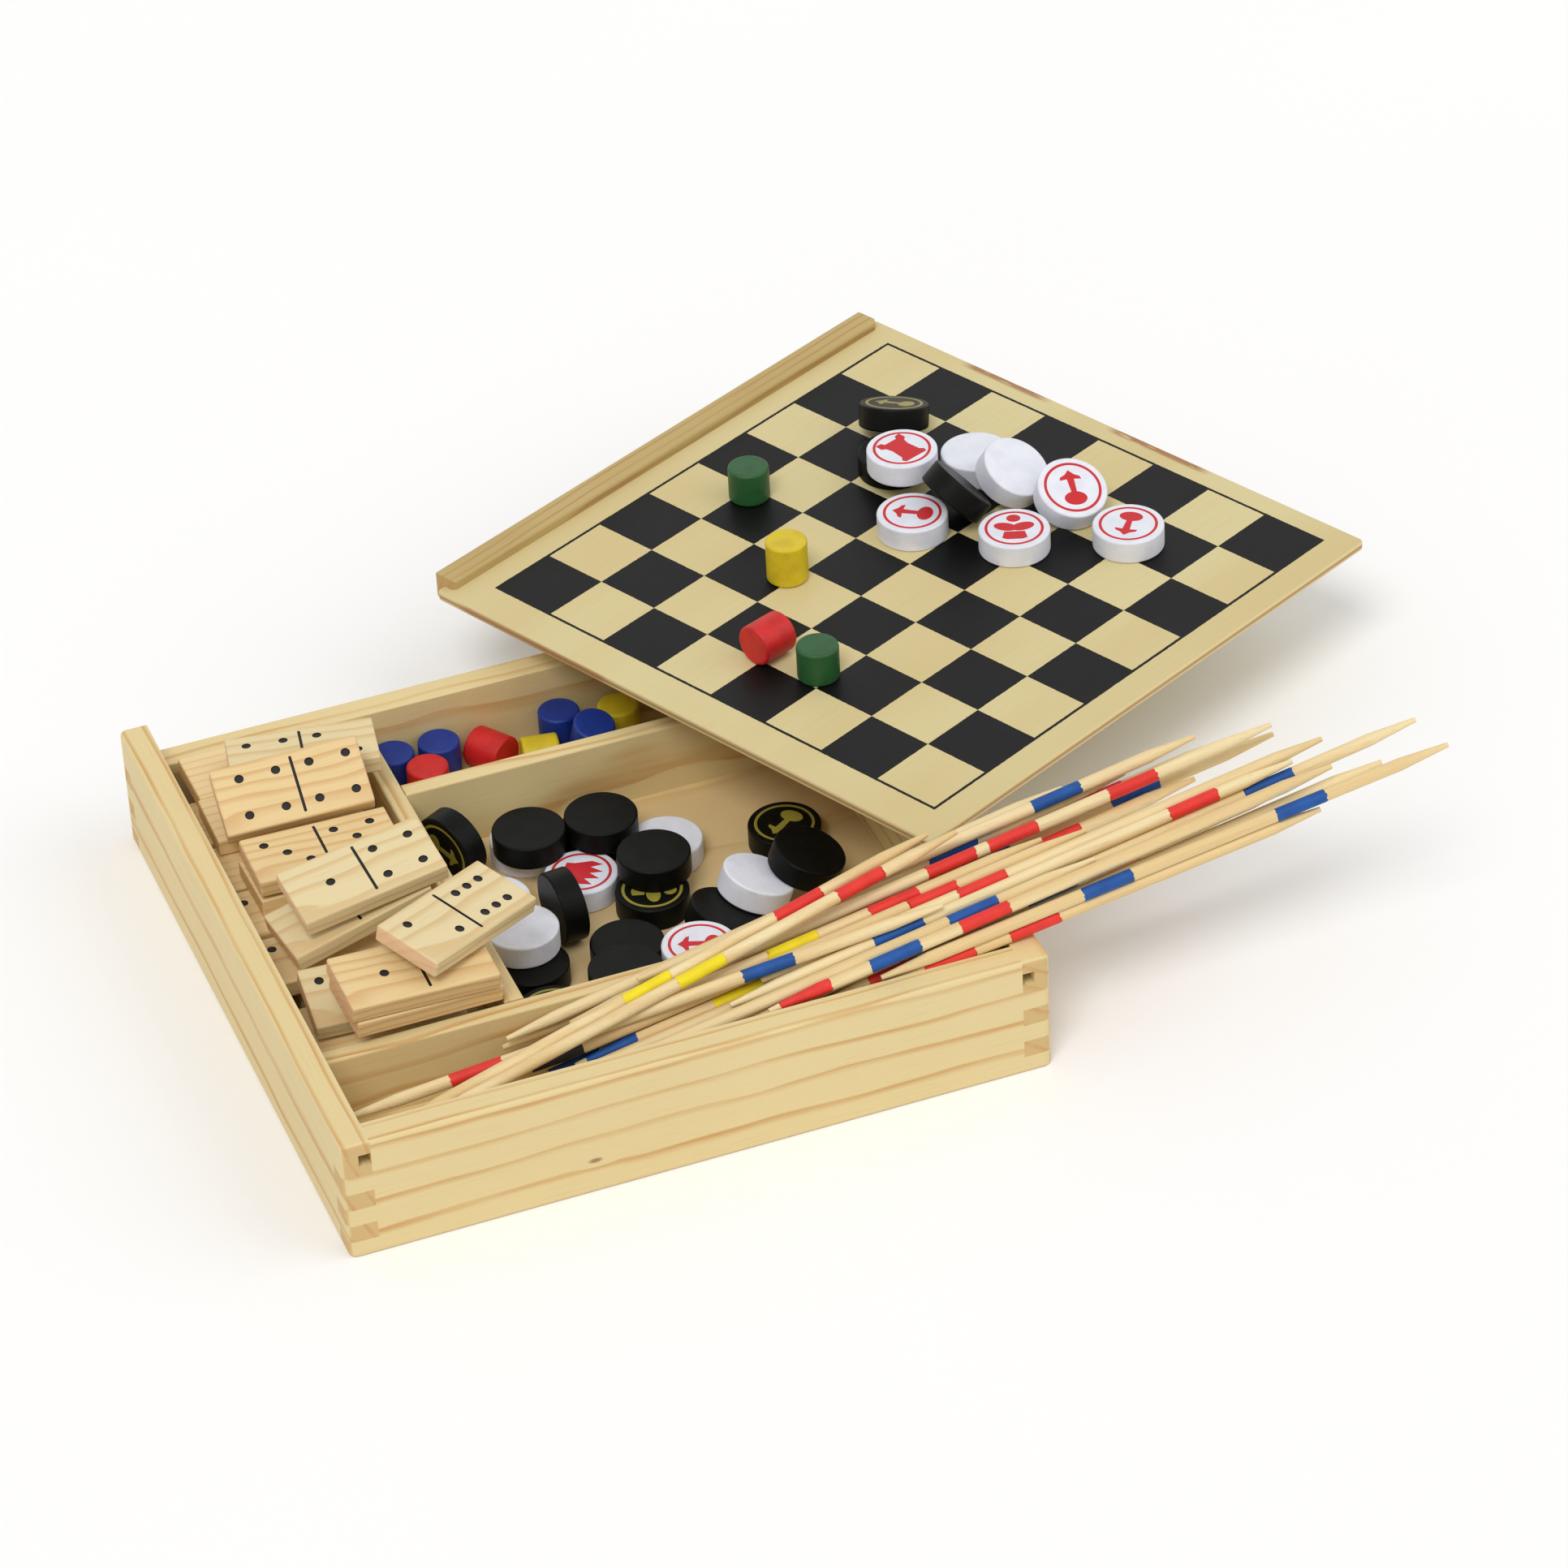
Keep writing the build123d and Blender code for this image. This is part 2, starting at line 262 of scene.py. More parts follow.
def boardMaterial():
    g = Graph("chequeredPly")
    p, n = g.place(), g.normal()
    middle = Vector((*lid["middle"], 0))
    a = p.dot(lid["boardLine"]) - middle.dot(Vector(lid["boardLine"]))
    b = p.dot(lid["railLine"]) - middle.dot(Vector(lid["railLine"]))
    z = p.dot((0, 0, 1))
    slow = g.noise(g.vector(a * 0.02, b * 0.006, z * 0.02), detail=2.0)
    grain = g.noise(g.vector(a * 1.3, b * 0.03, z * 0.4), detail=3.0, rough=0.6)
    pores = g.noise(g.vector(a * 5.0, b * 0.12, z), detail=2.0, rough=0.7)
    colour = g.mix(slow.step(0.3, 0.7), rgb(212, 199, 150), rgb(206, 188, 136))
    colour = g.mix(grain.step(0.45, 0.8) * 0.35, colour, rgb(206, 178, 120))
    colour = g.mix(pores.step(0.62, 0.8) * 0.2, colour, rgb(190, 158, 104))
    # plies on the edges: the middle one shows its end grain
    ply = abs(z - (lid["top"] - lid["thick"] / 2)).step(0.45, 0.75)
    edge = 1.0 - abs(n.dot((0, 0, 1))).step(0.4, 0.8)
    edgeColour = g.mix(ply, rgb(170, 128, 78), rgb(224, 202, 150))
    colour = g.mix(edge * 0.75, colour, edgeColour)
    # brown stains: two patches along one edge of the top, a line along the opposite side face
    cloudy = g.noise(g.vector(a * 0.12, b * 0.8, z), detail=3.0).step(0.3, 0.5)
    patches, soft = None, lid["stainSoft"]
    for low, high in lid["patches"]:
        one = a.step(low - soft, low + soft) * (1.0 - a.step(high - soft, high + soft))
        patches = one if patches is None else patches.max(one)
    patches = patches * b.step(lid["patchEdge"] - 1.2, lid["patchEdge"] + 0.6) * cloudy
    low, high = lid["line"]
    stained = a.step(low - soft, low + soft) * (1.0 - a.step(high - soft, high + soft)) * edge * (b < 0.0)
    colour = g.mix(patches.max(stained * 0.6) * 0.8, colour, rgb(150, 92, 54))
    # printed squares with slightly unsteady edges
    shake = (g.noise(p, scale=0.9, detail=2.0) - 0.5) * 0.35
    top = n.dot((0, 0, 1)) > 0.7
    i = ((a + lid["half"] + shake) / lid["square"]).floor()
    j = ((b + lid["half"] - shake) / lid["square"]).floor()
    odd = ((i + j) / 2.0).fract() > 0.25
    far = abs(a + shake).max(abs(b - shake))
    inside = far < lid["half"]
    line = (far > (lid["half"] - 0.15)) * (far < (lid["half"] + lid["border"]))
    printed = ((1.0 - odd) * inside).max(line) * top
    speck = g.noise(p, scale=1.7, detail=4.0, rough=0.8).step(0.70, 0.76)
    worn = g.noise(p, scale=0.05, detail=3.0).step(0.45, 0.8)
    ink = g.mix(worn * 0.5, rgb(9, 10, 9), rgb(20, 21, 20))
    ink = g.mix(speck * 0.55, ink, rgb(120, 115, 100))
    colour = g.mix(printed, colour, ink)
    height = grain * 0.4 + pores * 0.25 + printed * 0.3
    return g.finish(colour, 0.44 + grain * 0.12 - printed * 0.06, height, 0.05,
                    coat=0.1 * (1.0 - printed), specular=0.16)


dress("lid_panel", boardMaterial())
print("tray and lid dressed")


# paint on the turned pieces

def paint(name, colour, second, rough=0.45, streaks=0.5, bump=0.12, stretch=(1, 1, 1), specular=0.3):
    g = Graph(name)
    p = g.place()
    grain = g.noise(p * stretch, scale=1.1, detail=4.0, rough=0.65)
    broad = g.noise(p, scale=0.16, detail=3.0)
    tone = g.mix(broad.step(0.35, 0.7) * streaks, rgb(*colour), rgb(*second))
    tone = g.mix(grain.step(0.55, 0.8) * streaks * 0.7, tone, rgb(*[c * 0.82 for c in second]))
    return g.finish(tone, rough + (grain - 0.5) * 0.25, grain * 0.7 + broad * 0.3, bump, specular=specular)


pegFinish = {"rough": 0.4, "bump": 0.2, "stretch": (2, 2, 0.8)}
paints = {
    "black_paint": paint("blackPaint", (10, 11, 9), (19, 20, 18), rough=0.4, specular=0.1,
                         stretch=(1.6, 1.6, 0.9)),
    "white_paint": paint("whitePaint", (230, 232, 241), (213, 215, 225), rough=0.55,
                         stretch=(2.4, 2.4, 0.8), bump=0.22),
    "green_paint": paint("greenPaint", (38, 88, 46), (28, 70, 38), **pegFinish),
    "yellow_paint": paint("yellowPaint", (214, 190, 36), (188, 160, 28), **pegFinish),
    "red_paint": paint("redPaint", (206, 38, 36), (168, 24, 28), **pegFinish),
    "blue_paint": paint("bluePaint", (26, 54, 140), (18, 42, 112), **pegFinish),
}
marksPaint = {
    "red": paint("redPrint", (198, 40, 46), (188, 34, 40), rough=0.5, streaks=0.3, bump=0.02),
    "gold": paint("goldPrint", (150, 138, 52), (126, 116, 44), rough=0.42, streaks=0.5, bump=0.02),
}
blackInk = paint("blackInk", (26, 25, 24), (38, 36, 34), rough=0.55, bump=0.03)

for row in frame["record"]["subparts"]:
    if row["material_slot"] in paints:
        dress(row["node"], paints[row["material_slot"]])


# small mesh helpers

def newObject(name, mesh, materials, smooth=True):
    piece = bpy.data.objects.new(name, mesh)
    scene.collection.objects.link(piece)
    for material in materials:
        mesh.materials.append(material)
    if smooth:
        for face in mesh.polygons:
            face.use_smooth = True
    return piece


def toMesh(bm, name):
    mesh = bpy.data.meshes.new(name)
    bmesh.ops.recalc_face_normals(bm, faces=bm.faces)
    bm.to_mesh(mesh)
    bm.free()
    return mesh


def circle(radius, count, middle=(0, 0), squeeze=1.0, turn=0.0):
    points = []
    for k in range(count):
        x, y = radius * cos(2 * pi * k / count), radius * squeeze * sin(2 * pi * k / count)
        c, s = cos(radians(turn)), sin(radians(turn))
        points.append((middle[0] + c * x - s * y, middle[1] + s * x + c * y))
    return points


# a flat plate with the given outline, and a hole where a second outline of as many points is given
def plate(bm, outline, low, high, hole=None):
    rings = []
    for points in ([outline] if hole is None else [outline, hole]):
        rings.append([[bm.verts.new((x * mm, y * mm, z * mm)) for x, y in points] for z in (low, high)])
    for bottom, top in rings:
        for k in range(len(bottom)):
            bm.faces.new((bottom[k - 1], bottom[k], top[k], top[k - 1]))
    if hole is None:
        bm.faces.new(rings[0][0])
        bm.faces.new(rings[0][1])
    else:
        for level in (0, 1):
            outer, inner = rings[0][level], rings[1][level]
            for k in range(len(outer)):
                bm.faces.new((outer[k - 1], outer[k], inner[k], inner[k - 1]))


def placed(x, y, z, *turns):
    where = Matrix.Translation((x * mm, y * mm, z * mm))
    for angle, axis in turns:
        where = where @ Matrix.Rotation(radians(angle), 4, axis)
    return where


# dominoes that can be seen: rounded blocks with sunk pips and a sunk middle line

domino = {
    "size": (47.5, 24.0, 6.0),
    "edge": 0.8,
    "edgeSteps": 4,
    "uneven": 0.05,
    "pip": 1.5,
    "pipSides": 18,
    "pipSpread": (5.9, 5.9),
    "halfMiddle": 11.3,
    "line": (0.5, 9.6),
    "lineSteps": 6,
    "deep": 0.35,
    "drawnIn": 0.1,
    "chipReach": 2.4,
    "chipMove": (1.2, 0.9, -0.9),
    "lowPips": ((-97.6, 2.7, 28.15), (-98.6, 28.9, 28.15)),
    "lowPipHalf": 0.02,
    # node, middle, turn, rise and roll, pips on the left and right half, print off the middle
    "placed": (
        ("domino_back", (-62.0, 79.6, 40.4), (-10.6, 1, -3.3), 4, 2, 0),
        ("domino_leaning", (-72.5, 56.4, 45.7), (-5, 3.5, 27.6), 4, 4, 1.9),
        ("domino_middle", (-71.1, 31.0, 38.3), (-0.8, -0.7, 0), 3, 5, 0),
        ("domino_raised", (-67.5, -0.6, 49.6), (3.9, 7.1, 9.5), 1, 4, 1.0),
        ("domino_under_raised", (-73.0, -1.8, 39.6), (7.1, 11, 2.5), 1, 4, 0),
        ("domino_across", (-48.2, -33.3, 49.8), (31.6, -5.7, 10.2), 2, 6, 0),
        ("domino_front", (-65.9, -43.3, 41.5), (1.7, -3, 7), 1, 0, 1.9),
        ("domino_front_lower", (-65.2, -42.4, 35.3), (3.8, -3, 7), 5, 2, 0),
        ("domino_side", (-72.8, -30.8, 29.0), (-3.2, 0, 13.2), 3, 3, -1.0),
    ),
    # a domino rides its own body unless it is named here, and has the usual pip spread likewise
    "ownBody": {"domino_front_lower": "dominoes_upper_layer", "domino_side": "dominoes_upper_layer"},
    "ownSpread": {"domino_leaning": (5.9, 6.55), "domino_across": (5.3, 5.9)},
    "warm": ("domino_leaning", "domino_front", "domino_front_lower", "domino_middle"),
    "chipped": ("domino_across",),
}


def pips(count, middle, spread):
    s, r = spread
    places = {
        0: (), 1: ((0, 0),), 2: ((-s, r), (s, -r)), 3: ((-s, r), (0, 0), (s, -r)),
        4: ((-s, r), (s, r), (-s, -r), (s, -r)), 5: ((-s, r), (s, r), (0, 0), (-s, -r), (s, -r)),
        6: ((-s, r), (0, r), (s, r), (-s, -r), (0, -r), (s, -r)),
    }[count]
    return [(middle + x, y) for x, y in places]


def dominoMesh(name, left, right, shift, spread, chipped):
    rng = random.Random(name)
    lengthHalf, widthHalf, thickHalf = [v / 2 for v in domino["size"]]
    edge, steps = domino["edge"], domino["edgeSteps"]
    bm = bmesh.new()

    # one loop round the block, drawn in from its sides by inset
    def loop(z, inset):
        ring = []
        for cx, cy, start in ((1, 1, 0), (-1, 1, 90), (-1, -1, 180), (1, -1, 270)):
            for k in range(steps + 1):
                angle = radians(start + 90 * k / steps)
                reach = edge - inset
                x = cx * (lengthHalf - edge) + reach * cos(angle)
                y = cy * (widthHalf - edge) + reach * sin(angle)
                ring.append(bm.verts.new((x * mm, y * mm, z * mm)))
        return ring

    levels = []
    for k in range(steps + 1):
        angle = radians(90 * k / steps)
        levels.append((thickHalf - edge + edge * cos(angle), edge - edge * sin(angle)))
    profile = [(z, inset * 0.98) for z, inset in levels]
    profile += [(-z, inset) for z, inset in reversed(profile)]
    loops = [loop(z, inset) for z, inset in profile]
    for upper, lower in zip(loops, loops[1:]):
        for k in range(len(upper)):
            bm.faces.new((upper[k - 1], upper[k], lower[k], lower[k - 1]))
    bm.faces.new(loops[-1])

    # the face with its sunk marks
    middles = (pips(left, shift - domino["halfMiddle"], spread)
               + pips(right, shift + domino["halfMiddle"], spread))
    marks = [circle(domino["pip"], domino["pipSides"], middle) for middle in middles]
    wide, long = domino["line"]
    turns = [pi * (k + 0.5) / domino["lineSteps"] for k in range(2 * domino["lineSteps"])]
    marks.append([(wide * cos(a) + shift, long * (1 if sin(a) > 0 else -1) + wide * sin(a)) for a in turns])
    rim = [bm.edges.get((loops[0][k - 1], loops[0][k])) for k in range(len(loops[0]))]
    dark = []
    pull = domino["drawnIn"]
    keep = 1 - pull
    for outline in marks:
        mx, my = [sum(values) / len(outline) for values in zip(*outline)]
        top = [bm.verts.new((x * mm, y * mm, thickHalf * mm)) for x, y in outline]
        low = [bm.verts.new((x * mm * keep + mx * mm * pull, y * mm * keep + my * mm * pull,
                             (thickHalf - domino["deep"]) * mm)) for x, y in outline]
        for k in range(len(top)):
            rim.append(bm.edges.new((top[k - 1], top[k])))
            dark.append(bm.faces.new((top[k - 1], top[k], low[k], low[k - 1])))
        dark.append(bm.faces.new(low))
    bmesh.ops.triangle_fill(bm, use_beauty=True, use_dissolve=False, edges=rim)
    for face in dark:
        face.material_index = 1
    # slight unevenness along the edges, and one corner pressed in where the domino is chipped
    corner = Vector((-lengthHalf, -widthHalf, thickHalf)) * mm
    reach = domino["chipReach"] * mm
    for ring in loops:
        for vert in ring:
            shake = Vector((rng.uniform(-1, 1), rng.uniform(-1, 1), rng.uniform(-0.4, 0)))
            vert.co += shake * domino["uneven"] * mm
            away = (vert.co - corner).length
            if chipped and away < reach:
                vert.co += Vector(domino["chipMove"]) * mm * (1 - away / reach)
    return toMesh(bm, name)


def dominoWood(name, pale, dark, seed, spacing):
    g = Graph(name)
    p, n = g.place(), g.normal()
    x, y, z = p.parts()
    slow = g.noise(g.vector(x * 0.02 + seed, y * 0.05, z * 0.05), detail=2.0) - 0.5
    du, dv = y + 14.0, z + 22.0
    radius = (du * du + dv * dv).sqrt() + slow * 5.0
    ring = (radius / spacing).fract()
    late = ring.step(0.45, 0.92) * (1.0 - ring.step(0.95, 1.0))
    streak = g.noise(g.vector(x * 0.06 + seed, y * 3.0, z * 3.0), detail=3.0, rough=0.6)
    colour = g.mix(late * 0.7, rgb(*pale), rgb(*dark))
    colour = g.mix(streak.step(0.5, 0.8) * 0.35, colour, rgb(*[c * 0.9 for c in dark]))
    end = abs(n.dot((1, 0, 0))).step(0.55, 0.9)
    colour = g.mix(end * 0.6, colour, rgb(222, 172, 134))
    return g.finish(colour, 0.55 + streak * 0.15, streak * 0.5 + late * 0.3, 0.10)


dominoWoods = [dominoWood("dominoPale", (224, 206, 160), (208, 176, 122), 3.0, 3.3),
               dominoWood("dominoWarm", (226, 198, 144), (206, 160, 102), 17.0, 2.6)]

for node, middle, (turn, rise, roll), left, right, shift in domino["placed"]:
    body = domino["ownBody"].get(node, node)
    spread = domino["ownSpread"].get(node, domino["pipSpread"])
    mesh = dominoMesh(node + "_piece", left, right, shift, spread, node in domino["chipped"])
    piece = newObject(node + "_piece", mesh, [dominoWoods[node in domino["warm"]], blackInk], smooth=False)
    piece.matrix_world = placed(*middle, (turn, "Z"), (-rise, "Y"), (roll, "X"))
    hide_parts(node)
    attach(piece, body)

stackWood = wood("dominoStack", xAxis, (20, -30), 3.0, pale=(234, 208, 156), dark=(216, 176, 116), wander=3.0)
dress("dominoes_middle_layers", stackWood)
dress("dominoes_lower_layers", stackWood)
# pips that show on the layer underneath, beside the left wall
bm = bmesh.new()
for x, y, z in domino["lowPips"]:
    plate(bm, circle(domino["pip"], domino["pipSides"], (x, y)), z - domino["lowPipHalf"],
          z + domino["lowPipHalf"])
lowPips = newObject("low_pips", toMesh(bm, "low_pips"), [blackInk], smooth=False)
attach(lowPips, "dominoes_upper_layer")
print("dominoes made")


# printed rings and figures on the discs

disc = {
    "thick": 8.0,
    "ring": 9.7,
    "ringWide": 0.95,
    "ringSides": 72,
    "figureSize": 1.3,
    "print": (-0.03, 0.03),
    "lap": 0.006,
    # name, body, colour, figure, base middle, lean, towards, way up of the figure
    "marked": (
        ("lid_ring_gold", "lid_disc_black_ring", "gold", "pawn", (174.6, 165.4, 49.5), 21, 60, -40),
        ("lid_castle_red", "lid_disc_white_upper", "red", "castle", (165.7, 135.0, 53.2), 0, 0, 112),
        ("lid_pawn_red_leaning", "lid_disc_white_leaning", "red", "pawn", (209.5, 98.2, 50.3), 25, -82, -96),
        ("lid_king_red", "lid_disc_white_near", "red", "king", (185.6, 86.8, 45.2), 0, 0, 70),
        ("lid_pawn_red_right", "lid_disc_white_right", "red", "pawn", (220.5, 73.6, 45.2), 0, 0, 53),
        ("lid_pawn_red_left", "lid_disc_white_left", "red", "pawn", (158.8, 109.4, 45.2), 0, 0, -34),
        ("edge_disc_gold", "disc_black_on_edge_back", "gold", "pawn", (-21.4, 48.2, 16.5), 94.5, -155, 100),
        ("floor_queen_red", "discs_bottom", "red", "queen", (9.2, 21.6, 4.0), 0, 0, -39),
        ("floor_castle_gold", "discs_bottom", "gold", "king", (26.6, 4.0, 4.0), 0, 0, -30),
        ("floor_left_gold", "discs_bottom", "gold", "pawn", (-22.0, -40.5, 4.0), 0, 0, 20),
        ("front_pawn_red", "disc_white_front", "red", "pawn", (27.0, -38.3, 12.0), 0, 0, -19),
        ("under_lid_pawn_gold", "disc_black_under_lid", "gold", "pawn", (77.1, 19.3, 4.0), 0, 0, 36),
    ),
}


def figureOutlines(kind):
    if kind == "pawn":
        return [circle(3.0, 28, (0, 3.3), squeeze=0.68),
                [(-0.7, 2.0), (-0.95, -2.6), (0.95, -2.6), (0.7, 2.0)],
                [(-2.9, -2.3), (-1.0, -2.5), (1.0, -2.5), (2.9, -2.3), (2.6, -3.2), (1.2, -3.9), (0, -5.2),
                 (-1.2, -3.9), (-2.6, -3.2)]]
    if kind == "king":
        return [circle(1.8, 24, (0, 4.4), squeeze=0.9),
                circle(3.0, 26, (-2.2, 0.7), squeeze=0.58, turn=-18),
                circle(3.0, 26, (2.2, 0.7), squeeze=0.58, turn=18),
                [(-2.6, -1.5), (2.6, -1.5), (3.2, -4.3), (2.0, -4.9), (-2.0, -4.9), (-3.2, -4.3)]]
    if kind == "queen":
        return [[(-2.6, -4.6), (2.6, -4.6), (2.9, -2.6), (4.8, 1.2), (4.2, 4.2), (2.4, 1.6), (1.4, 5.2),
                 (0, 2.2), (-1.4, 5.2), (-2.4, 1.6), (-4.2, 4.2), (-4.8, 1.2), (-2.9, -2.6)]]
    return [[(-3.5, -5.3), (3.5, -5.3), (3.9, -4.2), (3.0, -3.2), (2.7, 0.6), (3.1, 2.4), (4.2, 3.2),
             (4.1, 5.4), (2.4, 5.2), (2.0, 4.2), (-2.0, 4.2), (-2.4, 5.2), (-4.1, 5.4), (-4.2, 3.2),
             (-3.1, 2.4), (-2.7, 0.6), (-3.0, -3.2), (-3.9, -4.2)]]


for name, body, colour, kind, base, lean, towards, way in disc["marked"]:
    bm = bmesh.new()
    low, high = disc["print"]
    outer = circle(disc["ring"], disc["ringSides"])
    inner = circle(disc["ring"] - disc["ringWide"], disc["ringSides"])
    plate(bm, outer, low, high, inner)
    # each plate of a figure ends a little higher than the last, so that no two tops coincide
    for step, outline in enumerate(figureOutlines(kind)):
        c, s = [disc["figureSize"] * part(radians(way - 90)) for part in (cos, sin)]
        plate(bm, [(c * x - s * y, s * x + c * y) for x, y in outline], low, high + step * disc["lap"])
    piece = newObject(name, toMesh(bm, name), [marksPaint[colour]], smooth=False)
    turned = placed(*base, (towards, "Z"), (lean, "Y"), (-towards, "Z"))
    piece.matrix_world = turned @ Matrix.Translation((0, 0, disc["thick"] * mm))
    "white_paint" if colour == "red" else "black_paint"
    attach(piece, body)
print("disc prints made")


# sticks: wood, and painted bands as thin sleeves

sticks = {
    "long": 190,
    "radius": 2.0,
    "tip": 0.8,
    "taper": 16,
    "rise": 9.0,
    "layer": 4.12,
    "rest": 44.85,
    "rim": 107.9,
    "bandLong": 16.5,
    "bandThick": 0.06,
    "bandRagged": 0.35,
    "bandSides": 20,
    "bandSteps": 16,
    # body, layer, then right tip x, y on the rim, turn and the bands: distance from the right tip and colour
    "layers": (
        ("sticks_bottom_layer", 0, (
            (208, -103.6, 0, "96 red 124 red"), (233, -97.6, 1.6, "166 red"), (192, -91.6, 1.6, "48 red"),
            (165, -87.3, 1.6, "48 blue 96 blue"), (174, -83.0, 1.6, "48 blue"), (126, -78.8, 1.2, "156 blue"),
            (182, -71.5, 2.4, "48 red"), (211, -65.9, 1.8, "48 blue 101 blue"),
            (201, -60.9, 2.2, "48 red"), (143, -55.6, 2.8, "48 red"))),
        ("sticks_second_layer", 1, (
            (251, -103.5, 0.2, "50 blue 115 blue"), (205, -96.2, 2.0, "84 blue"),
            (248, -91.8, 2.2, "51 blue"), (149, -87.4, 2.0, "48 red"),
            (158, -83.2, 2.0, "136 yellow 178 blue"), (119, -74.2, 3.0, "48 red 144 blue"),
            (159, -67.8, 3.2, "48 blue"), (163, -61.2, 3.4, "60 blue"), (144, -55.7, 3.4, "48 blue"))),
        ("sticks_third_layer", 2, (
            (215, -100.2, 2.0, "118 red 148 blue 178 red"), (137, -95.9, 1.8, "41 blue"),
            (206, -90.8, 2.0, "34 red 134 blue"), (218, -86.4, 1.8, "116 red"),
            (140, -82.1, 1.7, "52 red 177 black"), (127, -77.7, 1.7, "50 red 84 yellow"),
            (208, -71.2, 2.0, "48 red 89 red 110 red"), (186, -62.4, 2.3, "48 blue"))),
        ("stick_top_front", 3, ((88, -94.5, -3.9, "56 blue 149 red"),)),
        ("stick_top_back", 4, ((96, -62.0, 10.0, "47 red 101 yellow"),)),
        ("stick_top_middle", 4, ((104, -67.5, 9.6, "35 red 92 yellow"),)),
    ),
}


def stickPlace(tipX, rimY, turn, layer):
    middleX = tipX - sticks["long"] / 2
    y = rimY + (middleX - sticks["rim"]) * tan(radians(turn))
    z = sticks["rest"] + layer * sticks["layer"] + (middleX - sticks["rim"]) * tan(radians(sticks["rise"]))
    return placed(middleX, y, z, (turn, "Z"), (-sticks["rise"], "Y"))


def stickRadius(x):
    share = min(1, (sticks["long"] / 2 - abs(x)) / sticks["taper"])
    return sticks["tip"] + share * (sticks["radius"] - sticks["tip"])


# a closed sleeve; each ring has a place along the half length and a share of the paint's thickness
def band(bm, where, middle, rng):
    sides, half, uneven = sticks["bandSides"], sticks["bandLong"] / 2, sticks["bandRagged"]
    rings = []
    inner = [(-0.97 + 1.94 * k / sticks["bandSteps"], 1.0) for k in range(sticks["bandSteps"] + 1)]
    for end, radius in ((-1, -0.02), (-1, 0.5), *inner, (1, 0.5), (1, -0.02)):
        ring = []
        for k in range(sides):
            angle = 2 * pi * k / sides
            ragged = rng.uniform(-uneven, uneven) if radius < 1 else 0
            x = middle + end * half + ragged
            reach = stickRadius(x) + radius * sticks["bandThick"]
            ring.append(bm.verts.new(where @ (Vector((x, reach * cos(angle), reach * sin(angle))) * mm)))
        rings.append(ring)
    for first, second in zip(rings, rings[1:] + rings[:1]):
        for k in range(sides):
            bm.faces.new((first[k - 1], first[k], second[k], second[k - 1]))


def stickWood():
    g = Graph("stickWood")
    p = g.place()
    rise = radians(sticks["rise"])
    l = p.dot((cos(rise), 0, sin(rise)))
    u = p.dot((-sin(rise), 0, cos(rise)))
    s = p.dot((0, 1, 0))
    each = g.noise(g.vector(l * 0.002, s * 0.24, u * 0.24), detail=0.0)
    fibre = g.noise(g.vector(l * 0.025, s * 3.2, u * 3.2), detail=3.0, rough=0.65)
    colour = g.mix(each.step(0.3, 0.7), rgb(236, 216, 168), rgb(222, 192, 136))
    colour = g.mix(fibre.step(0.5, 0.75) * 0.45, colour, rgb(196, 158, 100))
    return g.finish(colour, 0.6 + fibre * 0.1, fibre, 0.12)


bandFinish = {"rough": 0.5, "bump": 0.1, "stretch": (0.2, 3, 3)}
bandPaints = {
    "blue": paint("bandBlue", (28, 84, 158), (22, 62, 126), **bandFinish),
    "red": paint("bandRed", (226, 56, 46), (204, 44, 40), **bandFinish),
    "yellow": paint("bandYellow", (240, 220, 30), (224, 200, 30), **bandFinish),
    "black": paint("bandBlack", (40, 40, 40), (30, 30, 30), **bandFinish),
}
stickMaterial = stickWood()
rng = random.Random(8)
for body, layer, rows in sticks["layers"]:
    dress(body, stickMaterial)
    meshes = {}
    for tipX, rimY, turn, bands in rows:
        where = stickPlace(tipX, rimY, turn, layer)
        words = bands.split()
        for distance, colour in zip(words[::2], words[1::2]):
            bm = meshes.setdefault(colour, bmesh.new())
            band(bm, where, sticks["long"] / 2 - float(distance), rng)
    for colour, bm in meshes.items():
        name = f"bands_{colour}_{body}"
        piece = newObject(name, toMesh(bm, name), [bandPaints[colour]])
        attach(piece, body)
print("sticks banded")


# light and floor

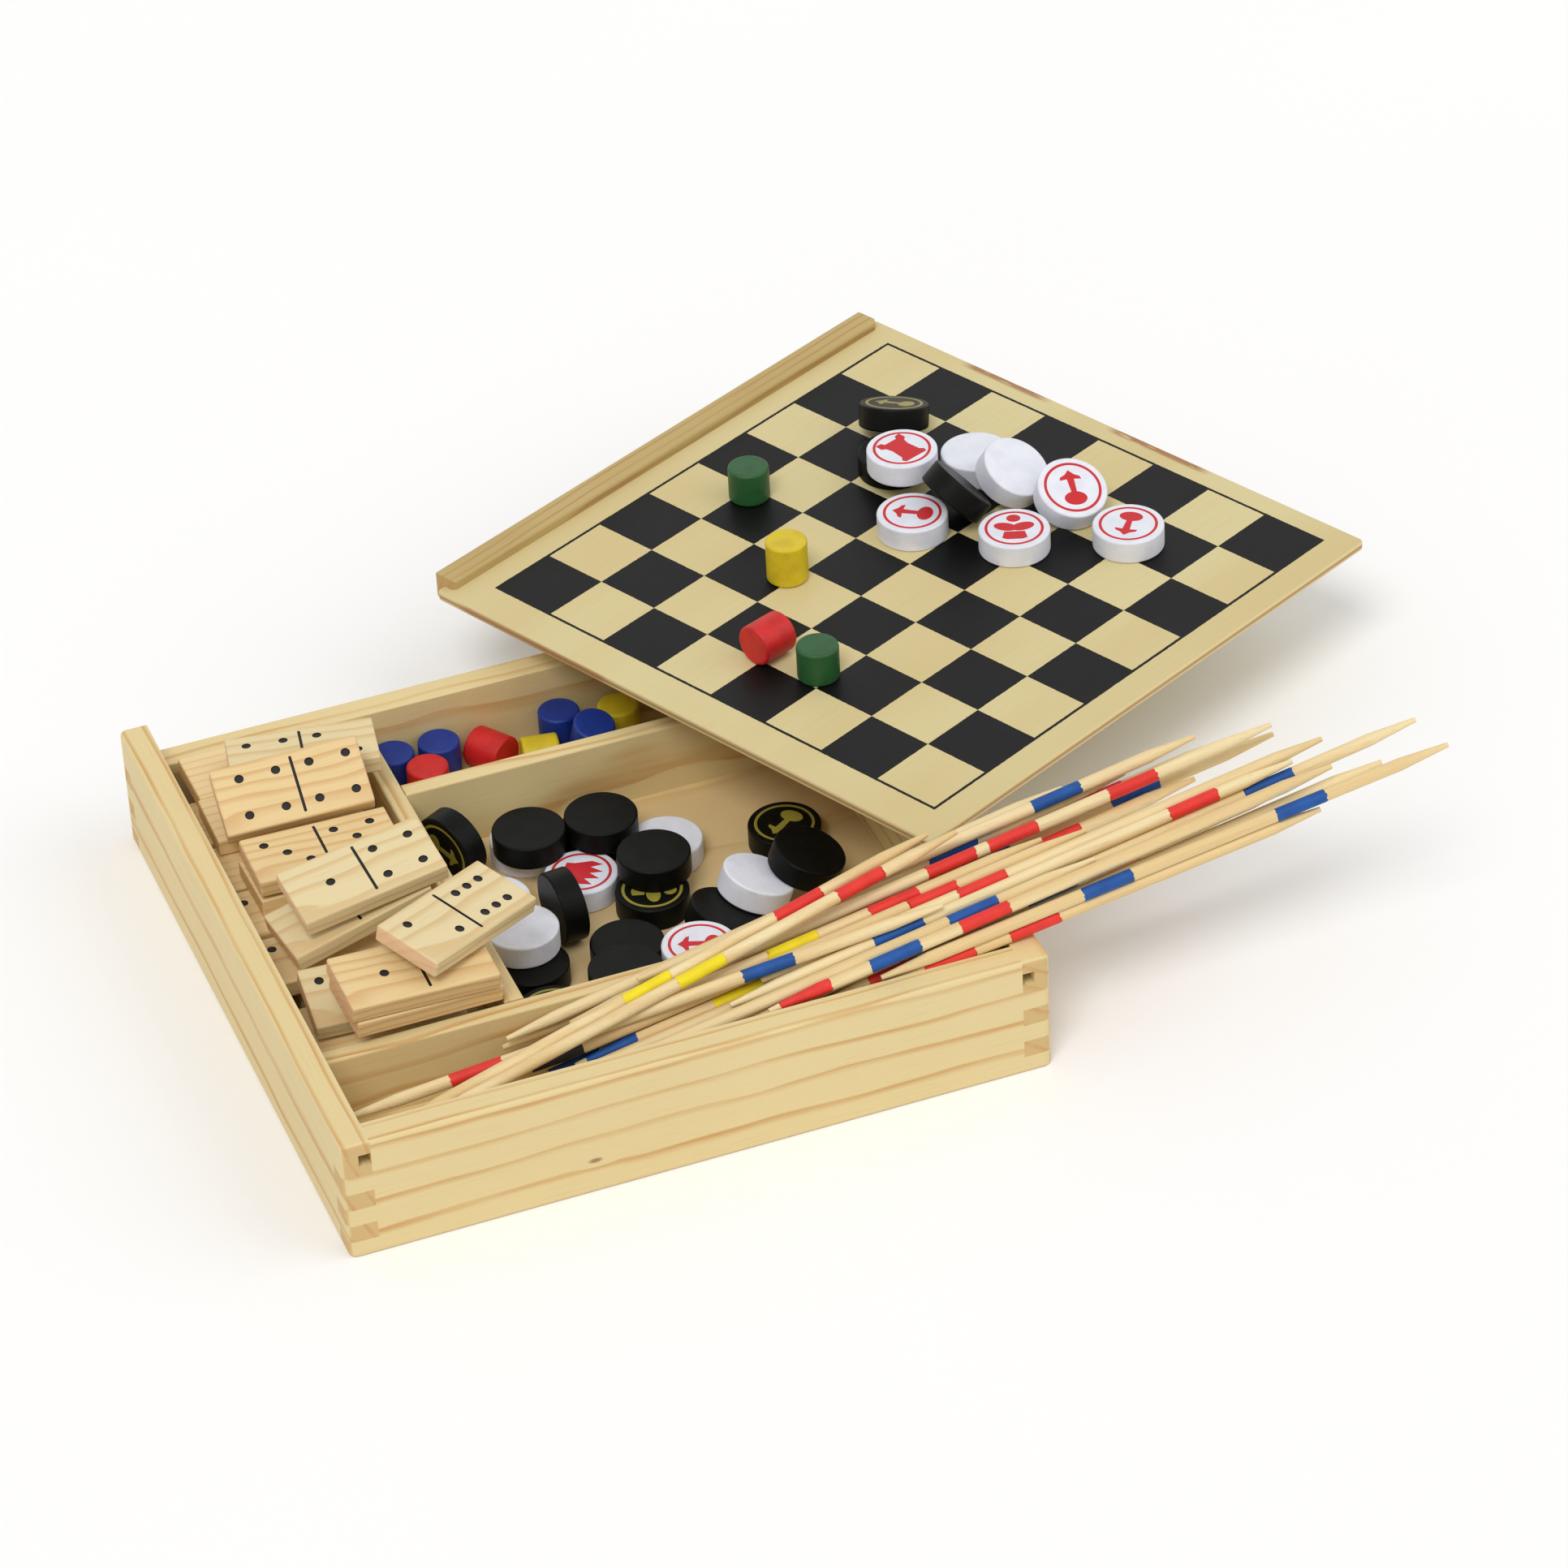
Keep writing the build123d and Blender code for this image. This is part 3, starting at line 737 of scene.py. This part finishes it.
studio = {
    "sky": 0.62,
    "key": (1.25, (-0.5, -0.62, 1.15), 24),
    "fill": (0.55, (0.9, -0.5, 0.9), 50),
    "floorRadius": 6000,
    "floorSides": 64,
    "floorDeep": 20,
}


def sun(name, strength, comesFrom, spread):
    data = bpy.data.lights.new(name, "SUN")
    data.energy = strength
    data.angle = radians(spread)
    lamp = bpy.data.objects.new(name, data)
    scene.collection.objects.link(lamp)
    lamp.rotation_euler = Vector(comesFrom).to_track_quat("Z", "Y").to_euler()


sun("key", *studio["key"])
sun("fill", *studio["fill"])

world = bpy.data.worlds.new("studio")
scene.world = world
world.use_nodes = True
tree = world.node_tree
tree.nodes.clear()
out = tree.nodes.new("ShaderNodeOutputWorld")
mixer = tree.nodes.new("ShaderNodeMixShader")
path = tree.nodes.new("ShaderNodeLightPath")
soft = tree.nodes.new("ShaderNodeBackground")
plain = tree.nodes.new("ShaderNodeBackground")
soft.inputs["Color"].default_value = (1.0, 0.992, 0.98, 1)
soft.inputs["Strength"].default_value = studio["sky"]
plain.inputs["Color"].default_value = (1, 1, 1, 1)
plain.inputs["Strength"].default_value = 1.0
# the plain white backdrop is also what shiny and clear surfaces show
seen = path.outputs["Is Camera Ray"]
for ray in ("Is Glossy Ray", "Is Transmission Ray"):
    either = tree.nodes.new("ShaderNodeMath")
    either.operation = "MAXIMUM"
    tree.links.new(seen, either.inputs[0])
    tree.links.new(path.outputs[ray], either.inputs[1])
    seen = either.outputs[0]
tree.links.new(seen, mixer.inputs["Fac"])
tree.links.new(soft.outputs[0], mixer.inputs[1])
tree.links.new(plain.outputs[0], mixer.inputs[2])
tree.links.new(mixer.outputs[0], out.inputs["Surface"])

floorGraph = Graph("paleFloor")
cloud = floorGraph.noise(floorGraph.place(), scale=0.004, detail=1.0)
floorColour = floorGraph.mix(cloud, (0.93, 0.93, 0.93), (0.95, 0.95, 0.95))
floorGraph.finish(floorColour, 0.9, specular=0.1)
bm = bmesh.new()
plate(bm, circle(studio["floorRadius"], studio["floorSides"]), -studio["floorDeep"], 0)
floor = newObject("floor", toMesh(bm, "floor"), [floorGraph.material], smooth=False)
print("light and floor set")
